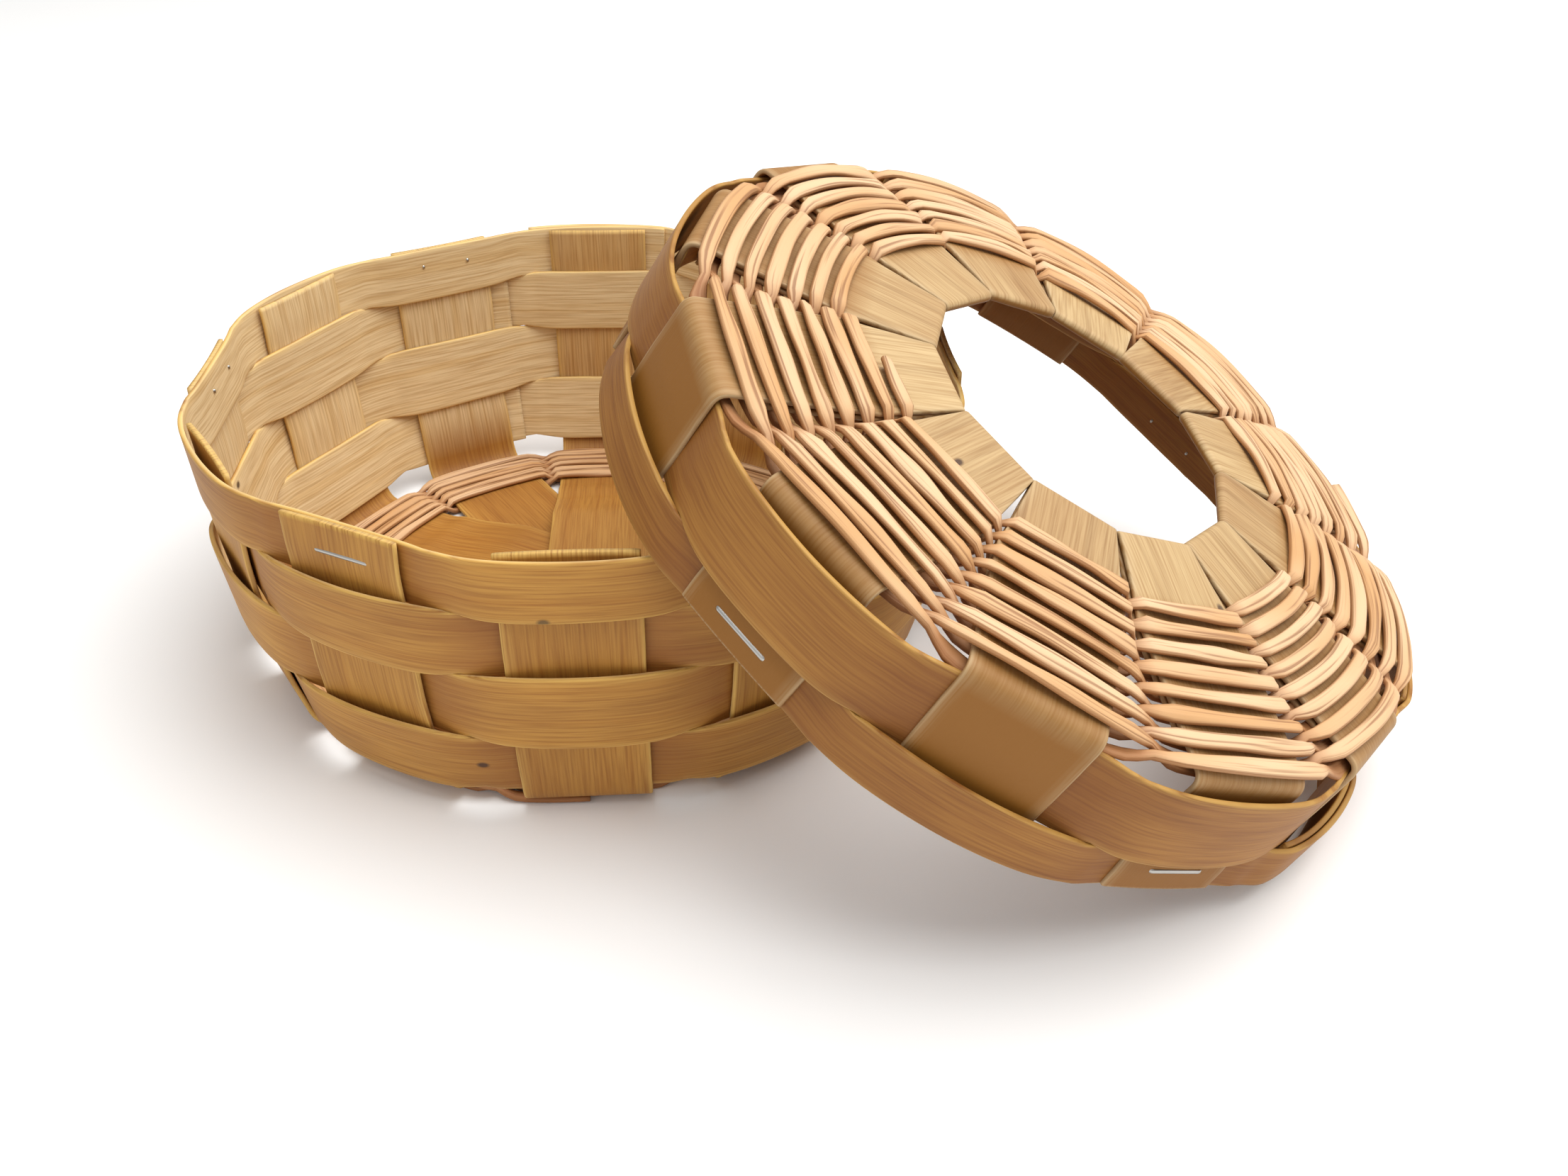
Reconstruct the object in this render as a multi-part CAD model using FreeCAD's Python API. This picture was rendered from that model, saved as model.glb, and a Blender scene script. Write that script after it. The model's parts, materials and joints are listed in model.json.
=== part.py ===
"""Round splint basket for draining soft cheese, with its ring lid leaning on it.

Units are millimetres. The basket stands on the ground at the origin, +Z up.
Splint is a thin flat strip of wood, a stake is a strip end that stands in the
wall, a band is a closed strip woven round the stakes, and a reed is a thin
half-round rod woven round the stakes of the floor or of the lid's top.
"""
import FreeCAD, Part
import math
import os

# ---- splint and reed stock ---------------------------------------------
STAKES = 12
SPLINT_WIDTH = 25.0
SPLINT_THICKNESS = 1.0
REED_THICKNESS = 1.1
REED_PAIR = 2                  # two reeds chase each other round
FLOOR_REED_WIDTH = 2.0         # lying flat over a stake
FLOOR_REED_WAIST = 0.85        # squeezed between its neighbours in the gaps
LID_REED_WIDTH = 2.7
LID_REED_WAIST = 1.35

# ---- basket -------------------------------------------------------------
RIM_RADIUS = 79.2              # middle of the splint at the mouth
UPPER_INSET = 0.2              # how far inside that it is under the rim band
MIDDLE_INSET = 0.8             # ... under the upper wall band
LOWER_INSET = 2.2              # ... under the middle wall band
FOOT_INSET = 5.2               # ... under the lower wall band
FLOOR_EDGE_INSET = 9.2         # ... where the flat floor starts to turn up
RIM_BAND_HEIGHT = 11.2
UPPER_BAND_HEIGHT = 12.4
MIDDLE_BAND_HEIGHT = 14.2
LOWER_BAND_HEIGHT = 13.4
FOOT_HEIGHT = 6.6              # ground to the lower band's course
FIRST_STAKE_ANGLE = -84.6      # degrees, from +X
FLOOR_REED_START = 9.4         # first reed, beyond where the strips part
FLOOR_REED_TURNS = 5
HEAP_MARGIN = 1.0              # strips stay heaped this far past where they part
HEAP_STAGGER = 5.0             # and every second one this much further
HEAP_FALL = 15.0               # length of the slope off the heap
STEP_FALL = 4.0                # length of the slope down the last thickness

# ---- lid ----------------------------------------------------------------
HOLE_RADIUS = 33.0             # middle of the hole's straight sides
STRIP_GAP = 0.4                # between the strips at the hole's edge
REED_CROSSING_GAP = 5.0        # ... and where the reeds start
FULL_WIDTH_GAP = 0.7           # of that gap, left where the strips reach their full width
TOP_DROP = 5.0                 # the top falls this much to its shoulder
SHOULDER_INSET = 2.6           # shoulder, inside the skirt's top
SHOULDER_DEPTH = 7.2           # hole edge down to the skirt band's course
SKIRT_TOP_INSET = 3.0          # skirt's top, inside the lid's rim
SKIRT_MIDDLE_INSET = 1.4
LID_BAND_HEIGHT = 14.6
LID_RIM_HEIGHT = 8.6
UNDER_LAYER_INSET = 4.5        # under layer's cut end, inside the shoulder
FOLD_GAP = 0.3
LID_REED_START = 16.5          # first reed, beyond the hole's sides
LID_REED_TURNS = 7.5
LEAN_TILT = 28.3               # degrees the lid leans from level
LEAN_AZIMUTH = -19.0           # direction it leans towards, from +X
LID_SPIN = -141.1              # first strip, measured from the downhill side

# ---- staples ------------------------------------------------------------
STAPLE_CROWN = 12.8
STAPLE_WIRE = 0.55
STAPLE_PAST_BAND = 0.4         # leg length beyond the band's inner face

# ---- clearances ---------------------------------------------------------
WEAVE_CLEARANCE = 0.2          # splint to splint
REED_CLEARANCE = 0.2           # reed to floor splint
LID_REED_CLEARANCE = 0.4       # reed to lid strip, whose top is a flat plate
BAND_GAP = 1.6                 # from one band's edge to the next
REED_END_CLEARANCE = 0.3       # last reed to where the strips bend
LID_CLEARANCE = 0.9            # the lid's skirt round the basket's rim
LEAN_CLEARANCE = 2.2           # the leaning lid to the basket's rim, which its loose splint bridges
GROUND_CLEARANCE = 0.5         # the leaning lid's lowest point to the ground

# ---- shared weave numbers -----------------------------------------------
FLAT_SHARE = 0.32              # of a step, that a flat stake fills each side of its middle
GROWTH_AT_EDGE = 0.8           # of a band's growth between stakes, reached at a stake's edge
WAVE_AT_EDGE = 0.9             # of a band's wave, still there at a stake's edge
STAKE_STEP = 360.0 / STAKES
HALF_SPLINT = SPLINT_THICKNESS / 2.0
HALF_REED = REED_THICKNESS / 2.0
PLATE_GROWTH = 1.0 / math.cos(math.radians(STAKE_STEP * FLAT_SHARE)) - 1.0
BAND_WAVE = (SPLINT_THICKNESS + WEAVE_CLEARANCE) / WAVE_AT_EDGE
WALL_HALF = BAND_WAVE + HALF_SPLINT
BAND_SAMPLES = 12 * STAKES
BEND_STEPS = 6                 # straight runs in a bend or a fold
LEAN_STEPS = 20                # depths of the skirt that the lean is measured at

os.makedirs("parts", exist_ok=True)


def save(name, shape):
    """Write one named piece, and say what it is."""
    shape.exportStep("parts/" + name + ".step")
    print(name, "solids", len(shape.Solids), "volume", round(shape.Volume, 1), "valid", shape.isValid())


def bezier(start, control, end, steps):
    """Points on a quadratic curve, without its first point."""
    points = []
    for i in range(1, steps + 1):
        t = i / steps
        x = (1 - t) ** 2 * start[0] + 2 * t * (1 - t) * control[0] + t * t * end[0]
        z = (1 - t) ** 2 * start[1] + 2 * t * (1 - t) * control[1] + t * t * end[1]
        points.append((x, z))
    return points


def offset_path(points, distance):
    """Shift a path sideways, keeping its runs parallel (mitred corners)."""
    shifted = []
    last = len(points) - 1
    for i, (x, z) in enumerate(points):
        before = points[max(i - 1, 0)]
        after = points[min(i + 1, last)]
        ux, uz = unit(x - before[0], z - before[1]) if i > 0 else unit(after[0] - x, after[1] - z)
        vx, vz = unit(after[0] - x, after[1] - z) if i < last else (ux, uz)
        nx, nz = unit(-uz - vz, ux + vx)
        cosine = -nx * uz + nz * ux
        shifted.append((x + nx * distance / cosine, z + nz * distance / cosine))
    return shifted


def unit(x, z):
    """The direction of a plane vector."""
    length = math.hypot(x, z)
    return x / length, z / length


def strip_along(points, width):
    """A splint of even thickness along a path in the XZ plane, centred on Y = 0."""
    outline = offset_path(points, HALF_SPLINT) + offset_path(points, -HALF_SPLINT)[::-1]
    corners = [FreeCAD.Vector(x, -width / 2.0, z) for x, z in outline]
    face = Part.Face(Part.makePolygon(corners + [corners[0]]))
    return face.extrude(FreeCAD.Vector(0, width, 0))


def turned(shape, angle):
    """A copy turned about the Z axis."""
    copy = shape.copy()
    copy.rotate(FreeCAD.Vector(0, 0, 0), FreeCAD.Vector(0, 0, 1), angle)
    return copy


def closed_curve(points):
    """A smooth closed edge through the points."""
    curve = Part.BSplineCurve()
    curve.interpolate(Points=points, PeriodicFlag=True)
    return curve.toShape()


def square_wave(angle):
    """+1 over even stakes, -1 over odd ones, turning over in the gaps between."""
    wave = math.cos(math.radians(angle * STAKES / 2.0))
    for _ in range(2):
        wave = math.sin(math.pi / 2.0 * wave)
    return wave


def band(first_angle, low, high, side):
    """A closed splint band woven round flat stakes.

    low and high are (radius of the stakes' middle, z); side is +1 where the
    band passes outside the even stakes and -1 where it passes inside them.
    """
    edges = {}
    for level, (radius, z) in (("low", low), ("high", high)):
        for face, shift in (("in", -HALF_SPLINT), ("out", HALF_SPLINT)):
            points = []
            for i in range(BAND_SAMPLES):
                angle = 360.0 * i / BAND_SAMPLES
                between = (1.0 - math.cos(math.radians(STAKES * angle))) / 2.0
                flat = 1.0 + PLATE_GROWTH * between / GROWTH_AT_EDGE
                r = radius * flat + side * BAND_WAVE * square_wave(angle) + shift
                a = math.radians(first_angle + angle)
                points.append(FreeCAD.Vector(r * math.cos(a), r * math.sin(a), z))
            edges[level, face] = closed_curve(points)
    skins = [
        Part.makeRuledSurface(edges["low", "in"], edges["high", "in"]),
        Part.makeRuledSurface(edges["low", "out"], edges["high", "out"]),
        Part.makeRuledSurface(edges["low", "in"], edges["low", "out"]),
        Part.makeRuledSurface(edges["high", "in"], edges["high", "out"]),
    ]
    return as_solid(skins)


def as_solid(faces):
    """A closed solid from faces that share their edges."""
    shell = Part.makeShell(faces)
    shell.sewShape()
    solid = Part.Solid(Part.Shell(shell.Faces))
    if solid.Volume < 0:
        solid.reverse()
    return solid


def reed(first_angle, over_even, inner, pitch, turns, half_width_at, level_at, wave, width, waist):
    """A flat reed on a spiral, over one set of stakes and under the other.

    half_width_at(r) is half a strip's width at that radius, level_at(r) the
    height of the strips' middle there, wave the reed's rise over them.
    """
    sign = 1.0 if over_even else -1.0
    names = ("low_in", "low_out", "high_out", "high_in")
    faces = []
    tips = []
    for stake in range(int(round(turns * STAKES))):
        here = sign if stake % 2 == 0 else -sign
        for samples in reed_samples(stake, inner, pitch, half_width_at):
            corners = {name: [] for name in names}
            for angle, phase in samples:
                radius = inner + pitch * angle / 360.0
                rise = here * math.cos(math.pi * phase)
                half = (waist + (width - waist) * rise * rise) / 2.0
                middle = level_at(radius) + wave * rise
                a = math.radians(first_angle + angle)
                for name, points in corners.items():
                    r = radius + (half if "out" in name else -half)
                    z = middle + (HALF_REED if "high" in name else -HALF_REED)
                    points.append(FreeCAD.Vector(r * math.cos(a), r * math.sin(a), z))
            angles = [angle for angle, phase in samples]
            ring = [open_curve(corners[name], angles) for name in names]
            faces += [Part.makeRuledSurface(ring[i], ring[(i + 1) % 4]) for i in range(4)]
            tips += [[corners[name][end] for name in names] for end in (0, -1)]
    for tip in (tips[0], tips[-1]):
        faces.append(Part.Face(Part.makePolygon(tip + [tip[0]])))
    return as_solid(faces)


def reed_edge(stake, inner, pitch, half_width_at):
    """Degrees from a stake's middle to where the reed starts to cross the gap."""
    radius = inner + pitch * stake / STAKES
    return math.degrees(math.asin((half_width_at(radius) + REED_CLEARANCE) / radius))


def reed_samples(stake, inner, pitch, half_width_at):
    """Angles with the share of the gap crossed: first over one stake, then across the gap after it."""
    edge = reed_edge(stake, inner, pitch, half_width_at)
    next_edge = reed_edge(stake + 1, inner, pitch, half_width_at)
    middle = stake * STAKE_STEP
    gap = STAKE_STEP - edge - next_edge
    over = [(middle - edge, 0.0), (middle, 0.0), (middle + edge, 0.0)]
    across = [(middle + edge + gap * share, share) for share in (0.0, 0.25, 0.5, 0.75, 1.0)]
    return over, across


def open_curve(points, angles):
    """A smooth open edge through the points, its parameter the angle turned."""
    curve = Part.BSplineCurve()
    curve.interpolate(Points=points, Parameters=angles)
    return curve.toShape()


def staples(first_angle, radius, lean, z, inner_reach):
    """One wire staple through every second stake: crown outside, legs inwards.

    radius is the outer face of the stakes at height z, lean the wall's angle
    from upright in degrees, inner_reach the legs' length under the crown.
    """
    depth = STAPLE_WIRE + inner_reach
    bar = Part.makeBox(depth, STAPLE_CROWN, STAPLE_WIRE)
    hole = Part.makeBox(depth, STAPLE_CROWN - 2.0 * STAPLE_WIRE, STAPLE_WIRE)
    hole.translate(FreeCAD.Vector(-STAPLE_WIRE, STAPLE_WIRE, 0))
    one = bar.cut(hole)
    one.translate(FreeCAD.Vector(STAPLE_WIRE - depth, -STAPLE_CROWN / 2.0, -STAPLE_WIRE / 2.0))
    one.rotate(FreeCAD.Vector(0, 0, 0), FreeCAD.Vector(0, 1, 0), lean)
    one.translate(FreeCAD.Vector(radius, 0, z))
    return [turned(one, first_angle + i * 2.0 * STAKE_STEP) for i in range(STAKES // 2)]


# ---- basket --------------------------------------------------------------
floor_wave = HALF_SPLINT + REED_CLEARANCE + HALF_REED
floor_level = floor_wave + HALF_REED
lower_z = FOOT_HEIGHT + LOWER_BAND_HEIGHT + BAND_GAP
middle_z = lower_z + MIDDLE_BAND_HEIGHT + BAND_GAP
upper_z = middle_z + UPPER_BAND_HEIGHT + BAND_GAP
mouth_z = upper_z + RIM_BAND_HEIGHT + BAND_GAP / 2.0
wall = [
    (RIM_RADIUS - FOOT_INSET, FOOT_HEIGHT),
    (RIM_RADIUS - LOWER_INSET, lower_z),
    (RIM_RADIUS - MIDDLE_INSET, middle_z),
    (RIM_RADIUS - UPPER_INSET, upper_z),
    (RIM_RADIUS, mouth_z),
]
floor_edge = RIM_RADIUS - FLOOR_EDGE_INSET
strips_part = SPLINT_WIDTH / 2.0 / math.tan(math.radians(STAKE_STEP / 2.0))


def radius_on(path, z):
    """Radius of a wall path at height z; beyond its ends the end run goes on."""
    runs = list(zip(path[:-1], path[1:]))
    chosen = runs[0]
    for run in runs:
        if z >= min(run[0][1], run[1][1]):
            chosen = run
    (r0, z0), (r1, z1) = chosen
    return r0 + (r1 - r0) * (z - z0) / (z1 - z0)


def base_strip_path(level):
    """Half a base strip, from the floor's middle out and up the wall.

    The six strips lie on each other at the middle. Level 0, 2 and 4 strips
    fall to the floor level; level 1, 3 and 5 strips stay one thickness higher
    until they have parted from their neighbours.
    """
    step = SPLINT_THICKNESS + WEAVE_CLEARANCE
    part_two = SPLINT_WIDTH / 2.0 / math.tan(math.radians(STAKE_STEP))
    upper = level % 2
    heap = level // 2 if not upper else STAKES // 4 + level // 2
    heap_end = part_two + HEAP_MARGIN + HEAP_STAGGER * upper
    path = [(0.0, floor_level + heap * step), (heap_end, floor_level + heap * step)]
    spread = heap_end + HEAP_FALL
    if heap != upper:
        path.append((spread, floor_level + upper * step))
    if upper:
        path.append((strips_part + HEAP_MARGIN, floor_level + step))
        path.append((strips_part + HEAP_MARGIN + STEP_FALL, floor_level))
    path.append((floor_edge, floor_level))
    corner = (radius_on(wall, floor_level), floor_level)
    path += bezier(path[-1], corner, wall[0], BEND_STEPS)
    path += wall[1:]
    return path


for number in range(STAKES // 2):
    half_path = base_strip_path((number + STAKES // 2 - 1) % (STAKES // 2))
    far_side = [(-x, z) for x, z in half_path[:0:-1]]
    strip = strip_along(far_side + half_path, SPLINT_WIDTH)
    save("base_strip_%d" % (number + 1), turned(strip, FIRST_STAKE_ANGLE + number * STAKE_STEP))


def floor_half_width(radius):
    """Half the width of a floor strip, the same at every radius."""
    return SPLINT_WIDTH / 2.0


def reed_pitch(first, last, turns, width):
    """One reed's step outwards in a turn, so that the pair fills first to last."""
    return (last - REED_END_CLEARANCE - width / 2.0 - first) / (turns + 1.0 / REED_PAIR)


floor_reed_inner = strips_part + FLOOR_REED_START
floor_pitch = reed_pitch(floor_reed_inner, floor_edge, FLOOR_REED_TURNS, FLOOR_REED_WIDTH)
for number in range(REED_PAIR):
    start = floor_reed_inner + floor_pitch * number / REED_PAIR
    coil = reed(
        FIRST_STAKE_ANGLE, number == 0, start, floor_pitch, FLOOR_REED_TURNS,
        floor_half_width, lambda radius: floor_level, floor_wave, FLOOR_REED_WIDTH, FLOOR_REED_WAIST,
    )
    save("floor_reed_%d" % (number + 1), coil)

half_gap = BAND_GAP / 2.0
courses = [
    ("wall_band_lower", FOOT_HEIGHT + half_gap, lower_z - half_gap, -1),
    ("wall_band_middle", lower_z + half_gap, middle_z - half_gap, 1),
    ("wall_band_upper", middle_z + half_gap, upper_z - half_gap, -1),
    ("rim_band", upper_z + half_gap, mouth_z, 1),
]
for name, low_z, high_z, side in courses:
    low = (radius_on(wall, low_z), low_z)
    high = (radius_on(wall, high_z), high_z)
    save(name, band(FIRST_STAKE_ANGLE, low, high, side))

staple_reach = SPLINT_THICKNESS + BAND_WAVE + STAPLE_PAST_BAND
staple_z = mouth_z - RIM_BAND_HEIGHT / 2.0
rim_staples = staples(
    FIRST_STAKE_ANGLE + STAKE_STEP, radius_on(wall, staple_z) + HALF_SPLINT, 0.0, staple_z, staple_reach
)
save("rim_staples", Part.makeCompound(rim_staples))

# ---- lid, in its own frame: the hole's edge at z = 0, the axis on Z -------
lid_rim_radius = RIM_RADIUS + 2.0 * WALL_HALF + LID_CLEARANCE
skirt_middle_z = -SHOULDER_DEPTH - LID_BAND_HEIGHT - BAND_GAP
lid_bottom_z = skirt_middle_z - LID_RIM_HEIGHT - half_gap
skirt = [
    (lid_rim_radius, lid_bottom_z),
    (lid_rim_radius - SKIRT_MIDDLE_INSET, skirt_middle_z),
    (lid_rim_radius - SKIRT_TOP_INSET, -SHOULDER_DEPTH),
]
shoulder = skirt[2][0] - SHOULDER_INSET
layer_step = SPLINT_THICKNESS + FOLD_GAP
slope = TOP_DROP / (shoulder - HOLE_RADIUS)
half_step_tangent = math.tan(math.radians(STAKE_STEP / 2.0))


def lid_top(radius):
    """Height of the top layer's middle."""
    return -slope * (radius - HOLE_RADIUS)


def lid_strip_path():
    """From the under layer's end, round the fold at the hole, over the top and down the skirt."""
    under_end = shoulder - UNDER_LAYER_INSET
    path = [(under_end, lid_top(under_end) - layer_step), (HOLE_RADIUS, lid_top(HOLE_RADIUS) - layer_step)]
    fold = layer_step / 2.0
    for i in range(1, BEND_STEPS):
        turn = math.pi * i / BEND_STEPS
        path.append((HOLE_RADIUS - fold * math.sin(turn), -fold - fold * math.cos(turn)))
    path.append((HOLE_RADIUS, 0.0))
    path.append((shoulder, lid_top(shoulder)))
    path += bezier(path[-1], (radius_on(skirt, -TOP_DROP), -TOP_DROP), skirt[2], BEND_STEPS)
    path += [skirt[1], skirt[0]]
    return path


hole_edge = HOLE_RADIUS - layer_step / 2.0 - HALF_SPLINT
reed_start = HOLE_RADIUS + LID_REED_START
pared = [
    (hole_edge, hole_edge * half_step_tangent - STRIP_GAP / 2.0),
    (reed_start, reed_start * half_step_tangent - REED_CROSSING_GAP / 2.0),
    ((SPLINT_WIDTH / 2.0 + REED_CROSSING_GAP * FULL_WIDTH_GAP) / half_step_tangent, SPLINT_WIDTH / 2.0),
]


def lid_half_width(radius):
    """Half a lid strip's width: pared towards the hole, full from the outer top down."""
    for (r0, w0), (r1, w1) in zip(pared[:-1], pared[1:]):
        if radius <= r1:
            return w0 + (w1 - w0) * (radius - r0) / (r1 - r0)
    return SPLINT_WIDTH / 2.0


def lid_strip():
    """One lid strip, folded and pared."""
    strip = strip_along(lid_strip_path(), SPLINT_WIDTH)
    beyond = lid_rim_radius + SPLINT_WIDTH
    sides = [(0.0, lid_half_width(0.0))] + pared + [(beyond, SPLINT_WIDTH / 2.0)]
    outline = [FreeCAD.Vector(r, w, SPLINT_WIDTH) for r, w in sides]
    outline += [FreeCAD.Vector(r, -w, SPLINT_WIDTH) for r, w in reversed(sides)]
    plan = Part.Face(Part.makePolygon(outline + [outline[0]]))
    prism = plan.extrude(FreeCAD.Vector(0, 0, lid_bottom_z - 2.0 * SPLINT_WIDTH))
    return strip.common(prism).Solids[0]


lid = {}
one_strip = lid_strip()
for number in range(STAKES):
    lid["lid_strip_%d" % (number + 1)] = turned(one_strip, LID_SPIN + number * STAKE_STEP)
lid_wave = SPLINT_THICKNESS + FOLD_GAP / 2.0 + LID_REED_CLEARANCE + HALF_REED
lid_pitch = reed_pitch(reed_start, shoulder, LID_REED_TURNS, LID_REED_WIDTH)
for number in range(REED_PAIR):
    start = reed_start + lid_pitch * number / REED_PAIR
    lid["lid_reed_%d" % (number + 1)] = reed(
        LID_SPIN, number == 0, start, lid_pitch, LID_REED_TURNS,
        lid_half_width, lambda radius: lid_top(radius) - layer_step / 2.0, lid_wave,
        LID_REED_WIDTH, LID_REED_WAIST,
    )
upper_low = skirt_middle_z + half_gap
upper_high = -SHOULDER_DEPTH - half_gap
lid["lid_band"] = band(
    LID_SPIN, (radius_on(skirt, upper_low), upper_low), (radius_on(skirt, upper_high), upper_high), -1
)
rim_high = skirt_middle_z - half_gap
lid["lid_rim_band"] = band(LID_SPIN, skirt[0], (radius_on(skirt, rim_high), rim_high), 1)
lid_staple_z = lid_bottom_z + LID_RIM_HEIGHT / 2.0
skirt_lean = math.degrees(math.atan2(skirt[0][0] - skirt[1][0], skirt[1][1] - skirt[0][1]))
lid["lid_staples"] = Part.makeCompound(staples(
    LID_SPIN + STAKE_STEP, radius_on(skirt, lid_staple_z) + HALF_SPLINT / math.cos(math.radians(skirt_lean)),
    -skirt_lean, lid_staple_z, staple_reach,
))

# ---- the lid leans on the basket's rim, its own rim on the ground ---------
lean = FreeCAD.Rotation(FreeCAD.Vector(0, 0, 1), LEAN_AZIMUTH)
lean = lean.multiply(FreeCAD.Rotation(FreeCAD.Vector(0, 1, 0), LEAN_TILT))
tilted = Part.makeCompound(list(lid.values()))
tilted.Placement = FreeCAD.Placement(FreeCAD.Vector(0, 0, 0), lean)
lean_height = GROUND_CLEARANCE - tilted.optimalBoundingBox(True, False).ZMin


def lean_distance():
    """How far out the lid's middle stands, so its skirt just clears the basket's rim.

    At each depth of the skirt its inner circle crosses the mouth's plane at two
    points; they stand LEAN_CLEARANCE outside the basket's rim.
    """
    cosine = math.cos(math.radians(LEAN_TILT))
    sine = math.sin(math.radians(LEAN_TILT))
    reach = RIM_RADIUS + WALL_HALF + LEAN_CLEARANCE
    needed = 0.0
    for i in range(LEAN_STEPS + 1):
        share = i / LEAN_STEPS
        depth = lid_bottom_z * (1.0 - share) - SHOULDER_DEPTH * share
        inner = radius_on(skirt, depth) - WALL_HALF
        uphill = (lean_height + depth * cosine - mouth_z) / sine
        across = math.sqrt(max(inner ** 2 - uphill ** 2, 0.0))
        if across == 0.0 or across > reach:
            continue
        needed = max(needed, math.sqrt(reach ** 2 - across ** 2) - uphill * cosine - depth * sine)
    return needed


distance = lean_distance()
azimuth = math.radians(LEAN_AZIMUTH)
stand = FreeCAD.Vector(distance * math.cos(azimuth), distance * math.sin(azimuth), lean_height)
print("lid centre", stand, "mouth", mouth_z)
for name, shape in lid.items():
    placed = shape.copy()
    placed.Placement = FreeCAD.Placement(stand, lean).multiply(shape.Placement)
    save(name, placed)
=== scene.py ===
"""Looks for a round splint basket and its ring lid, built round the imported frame.

The basket is plain woven from thin split-wood strips. Its lid is a ring of the
same strips, folded over the hole's edge and bound with half-round reed.
"""

import json
import logging
import math
from dataclasses import dataclass, field
from enum import Enum
from typing import Any, Callable

import bpy
import numpy as np
from mathutils import Matrix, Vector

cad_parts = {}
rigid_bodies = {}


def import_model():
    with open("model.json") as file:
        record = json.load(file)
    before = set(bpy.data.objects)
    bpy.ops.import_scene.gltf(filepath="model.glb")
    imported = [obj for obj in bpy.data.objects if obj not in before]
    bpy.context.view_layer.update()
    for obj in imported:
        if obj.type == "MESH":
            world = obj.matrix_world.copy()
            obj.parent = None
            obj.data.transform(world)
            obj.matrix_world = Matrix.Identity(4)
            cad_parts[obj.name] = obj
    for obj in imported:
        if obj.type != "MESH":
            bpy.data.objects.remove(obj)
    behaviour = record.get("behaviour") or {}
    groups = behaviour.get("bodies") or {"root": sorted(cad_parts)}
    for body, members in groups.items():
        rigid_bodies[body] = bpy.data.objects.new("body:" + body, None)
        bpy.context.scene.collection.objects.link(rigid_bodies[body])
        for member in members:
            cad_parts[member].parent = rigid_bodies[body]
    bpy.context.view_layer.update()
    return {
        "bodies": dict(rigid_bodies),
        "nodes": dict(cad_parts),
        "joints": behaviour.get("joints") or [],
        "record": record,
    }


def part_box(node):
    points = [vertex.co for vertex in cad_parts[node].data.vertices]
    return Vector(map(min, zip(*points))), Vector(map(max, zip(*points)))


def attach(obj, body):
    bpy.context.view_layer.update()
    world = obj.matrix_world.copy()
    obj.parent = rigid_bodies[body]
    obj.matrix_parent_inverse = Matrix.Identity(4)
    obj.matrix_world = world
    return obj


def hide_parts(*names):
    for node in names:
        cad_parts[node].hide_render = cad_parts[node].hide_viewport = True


LOG = logging.getLogger("basket")
MM = 0.001
STAKES = 12
STEP = 2.0 * math.pi / STAKES
SPLINT_WIDTH = 25.0 * MM
SPLINT_THICKNESS = 1.05 * MM
SEED = 20
# the third mark is painted shade; the fourth, the inner face, is partly painted light
MARKS = ("tone", "edge", "painted_shade", "inner")
EDGE_SHARE = np.array([1.0, 0.9, 0.35, 0, 0, 0, 0, 0, 0, 0.35, 0.9, 1.0])   # across one face, edge to edge
EDGE_MARK = np.concatenate([EDGE_SHARE, EDGE_SHARE])
INNER_MARK = np.concatenate([np.zeros_like(EDGE_SHARE), np.ones_like(EDGE_SHARE)])
EDGE_FLAW = 0.10 * MM       # how far a strip's edges wander
STRIP_TWIST = 0.012         # its slope across, at most
CUP = 5.0                   # its curvature across on a wall, in 1 / metre
RIM_PROUD = 0.5 * MM        # half a splint: from its outer face to its middle
BAND_GAP = 0.12 * MM        # kept free at each edge of a band
REED_SOLE = 0.38            # of a reed's height, below its middle
REED_CROWN = 0.62           # ... and above it


# ---------------------------------------------------------------- materials
def linear(hex_colour: str) -> tuple[float, float, float, float]:
    """An sRGB hex colour as linear RGBA.

    Args:
        hex_colour: six hex digits, with or without a leading hash.

    Returns:
        Linear red, green and blue, and an alpha of 1.
    """
    digits = hex_colour.lstrip("#")
    parts = [int(digits[i:i + 2], 16) / 255.0 for i in (0, 2, 4)]
    lin = [c / 12.92 if c <= 0.04045 else ((c + 0.055) / 1.055) ** 2.4 for c in parts]
    return (lin[0], lin[1], lin[2], 1.0)


def add_node(tree: bpy.types.NodeTree, kind: str, settings: dict[str, Any] | None = None,
             inputs: dict[Any, Any] | None = None) -> bpy.types.Node:
    """Adds one shader node with its settings, values and links.

    Args:
        tree: the node tree it goes into.
        kind: the node's type name.
        settings: attributes of the node.
        inputs: socket name or number to a value, or to an output socket to link.

    Returns:
        The new node.
    """
    node = tree.nodes.new(kind)
    for name, value in (settings or {}).items():
        setattr(node, name, value)
    for name, value in (inputs or {}).items():
        if isinstance(value, bpy.types.NodeSocket):
            tree.links.new(value, node.inputs[name])
        else:
            node.inputs[name].default_value = value
    return node


def read_marks(tree: bpy.types.NodeTree) -> list[bpy.types.NodeSocket]:
    """The four marks that a piece carries, in the order of MARKS."""
    return [add_node(tree, "ShaderNodeAttribute", {"attribute_name": mark}).outputs["Fac"] for mark in MARKS]


def new_material(name: str, roughness: float) -> tuple[bpy.types.Material, bpy.types.Node]:
    """A node material and its shader, with its roughness set."""
    material = bpy.data.materials.new(name)
    material.use_nodes = True
    shader = material.node_tree.nodes["Principled BSDF"]
    shader.inputs["Roughness"].default_value = roughness
    return material, shader


class Grain(Enum):
    """Which way a strip was cut from the log."""

    QUARTERED = "straight, even lines"
    FLAT = "wider, wandering lines"


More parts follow.
